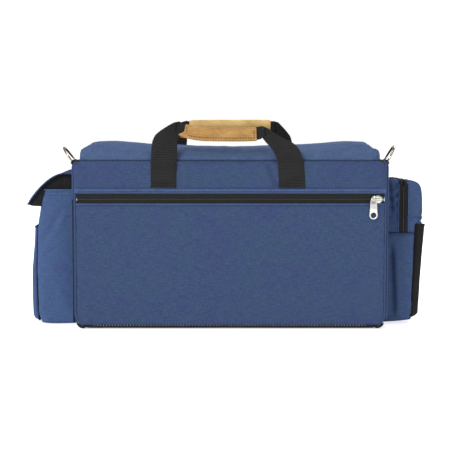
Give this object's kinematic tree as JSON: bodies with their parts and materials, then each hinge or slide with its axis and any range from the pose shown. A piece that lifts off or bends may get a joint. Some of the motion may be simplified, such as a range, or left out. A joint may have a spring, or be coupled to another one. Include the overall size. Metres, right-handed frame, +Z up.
{
  "type": "flight bag",
  "caption": "Soft-sided flight bag with padded hinged lid, webbing handles with suede grips, zipped front pocket, flap pocket and zipped pocket on the ends, and strap D-rings.",
  "frame": {"origin": "underside of the base panel, below the middle of the bag's body without its end pockets", "axes": "+X towards the zipped end pocket (the bag's right), -Y towards the long side with the document pocket and the lid's sewn edge, +Z up"},
  "size_m": [0.5709, 0.2545, 0.2915],
  "materials": {
    "blue_fabric": "matte woven nylon",
    "black_fabric": "matte woven nylon",
    "webbing": "ribbed webbing",
    "suede": "suede, napped",
    "foam": "closed-cell foam",
    "lining": "smooth coated nylon",
    "board": "smooth sheet",
    "zip_tape": "woven tape",
    "zip_coil": "nylon coil",
    "nickel": "nickel plated, satin",
    "chrome_wire": "polished",
    "hook_loop": "hook and loop",
    "piping": "corded piping"
  },
  "bodies": {
    "root": {"back_panel": "blue_fabric", "back_upper_band": "blue_fabric", "back_wall_foam": "foam", "base_board": "board", "base_panel": "black_fabric", "base_piping": "piping", "d_ring_tab_left": "blue_fabric", "d_ring_tab_right": "blue_fabric", "far_handle_feet": "webbing", "front_band_pad": "foam", "front_pocket_lining": "lining", "front_pocket_panel": "blue_fabric", "front_upper_band": "blue_fabric", "front_wall_foam": "foam", "front_zip_coil_lower": "zip_coil", "front_zip_coil_upper": "zip_coil", "front_zip_stops": "nickel", "front_zip_tape_lower": "zip_tape", "front_zip_tape_upper": "zip_tape", "left_flap_root": "blue_fabric", "left_gusset": "blue_fabric", "left_pocket_loop_strip": "hook_loop", "left_pocket_shell": "blue_fabric", "left_slip_pocket": "blue_fabric", "left_wall_foam": "foam", "main_lining": "lining", "padded_divider": "foam", "right_gusset": "blue_fabric", "right_pocket_shell": "blue_fabric", "right_slip_pocket": "black_fabric", "right_wall_foam": "foam", "right_zip_tape_inner": "zip_tape", "rim_binding": "black_fabric", "rim_zip_tape_ends": "zip_tape", "rim_zip_tape_far": "zip_tape"},
    "lid": {"lid_shell": "blue_fabric", "lid_pad": "foam", "lid_lining": "lining", "lid_zip_tape": "zip_tape"},
    "near_handle_feet": {"near_handle_feet": "webbing"},
    "near_handle": {"near_handle_webbing": "webbing", "near_handle_grip": "suede"},
    "far_handle": {"far_handle_webbing": "webbing", "far_handle_grip": "suede"},
    "left_flap": {"left_flap_shell": "blue_fabric", "left_flap_lining": "black_fabric", "left_flap_hook_strip": "hook_loop"},
    "right_door": {"right_pocket_door": "blue_fabric", "right_zip_tape_outer": "zip_tape"},
    "front_slider": {"front_slider": "nickel"},
    "front_pull": {"front_pull": "nickel"},
    "lid_slider_left": {"lid_slider_left": "nickel"},
    "lid_pull_left": {"lid_pull_left": "nickel"},
    "lid_slider_right": {"lid_slider_right": "nickel"},
    "lid_pull_right": {"lid_pull_right": "nickel"},
    "right_slider": {"right_slider": "nickel"},
    "right_pull": {"right_pull": "nickel"},
    "d_ring_left": {"d_ring_left": "chrome_wire"},
    "d_ring_right": {"d_ring_right": "chrome_wire"}
  },
  "joints": [
    {"name": "lid_hinge", "type": "hinge", "parent": "root", "child": "lid", "pos_m": [0, -0.115, 0.2362], "axis": [1, 0, 0], "range_deg": [0, 95]},
    {"name": "near_handle_lean", "type": "hinge", "parent": "root", "child": "near_handle_feet", "pos_m": [0, -0.1191, 0.2005], "axis": [1, 0, 0], "range_deg": [0, 40]},
    {"name": "near_handle_swing", "type": "hinge", "parent": "near_handle_feet", "child": "near_handle", "pos_m": [0, -0.1191, 0.21475], "axis": [1, 0, 0], "range_deg": [0, 130]},
    {"name": "far_handle_swing", "type": "hinge", "parent": "root", "child": "far_handle", "pos_m": [0, 0.1271, 0.21375], "axis": [-1, 0, 0], "range_deg": [0, 165]},
    {"name": "left_flap_hinge", "type": "hinge", "parent": "root", "child": "left_flap", "pos_m": [-0.2401, 0, 0.21725], "axis": [0, 1, 0], "range_deg": [0, 100]},
    {"name": "right_door_hinge", "type": "hinge", "parent": "root", "child": "right_door", "pos_m": [0.273, 0, 0.1556], "axis": [0, 1, 0], "range_deg": [0, 90]},
    {"name": "front_zip_travel", "type": "slide", "parent": "root", "child": "front_slider", "axis": [-1, 0, 0], "range_m": [0, 0.405]},
    {"name": "front_pull_swing", "type": "hinge", "parent": "front_slider", "child": "front_pull", "pos_m": [0.2008, -0.1194, 0.182], "axis": [0, 1, 0], "range_deg": [-75, 75]},
    {"name": "lid_zip_travel_left", "type": "slide", "parent": "root", "child": "lid_slider_left", "axis": [-1, 0, 0], "range_m": [0, 0.19]},
    {"name": "lid_pull_left_swing", "type": "hinge", "parent": "lid_slider_left", "child": "lid_pull_left", "pos_m": [-0.015, 0.1202, 0.2376], "axis": [0, 1, 0], "range_deg": [-30, 75]},
    {"name": "lid_zip_travel_right", "type": "slide", "parent": "root", "child": "lid_slider_right", "axis": [1, 0, 0], "range_m": [0, 0.19]},
    {"name": "lid_pull_right_swing", "type": "hinge", "parent": "lid_slider_right", "child": "lid_pull_right", "pos_m": [0.015, 0.1202, 0.2376], "axis": [0, 1, 0], "range_deg": [-75, 30]},
    {"name": "right_zip_travel", "type": "slide", "parent": "root", "child": "right_slider", "axis": [0, 0, 1], "range_m": [0, 0.031]},
    {"name": "right_pull_swing", "type": "hinge", "parent": "right_slider", "child": "right_pull", "pos_m": [0.249, 0.0752, 0.1625], "axis": [0, 1, 0], "range_deg": [-60, 60]},
    {"name": "d_ring_left_swing", "type": "hinge", "parent": "root", "child": "d_ring_left", "pos_m": [-0.231, 0, 0.231], "axis": [0, 1, 0], "range_deg": [0, 56]},
    {"name": "d_ring_right_swing", "type": "hinge", "parent": "root", "child": "d_ring_right", "pos_m": [0.231, 0, 0.231], "axis": [0, -1, 0], "range_deg": [0, 48]}
  ],
  "couplings": [
    {"joint": "near_handle_lean", "follows": "lid_hinge", "ratio": 0.42}
  ]
}
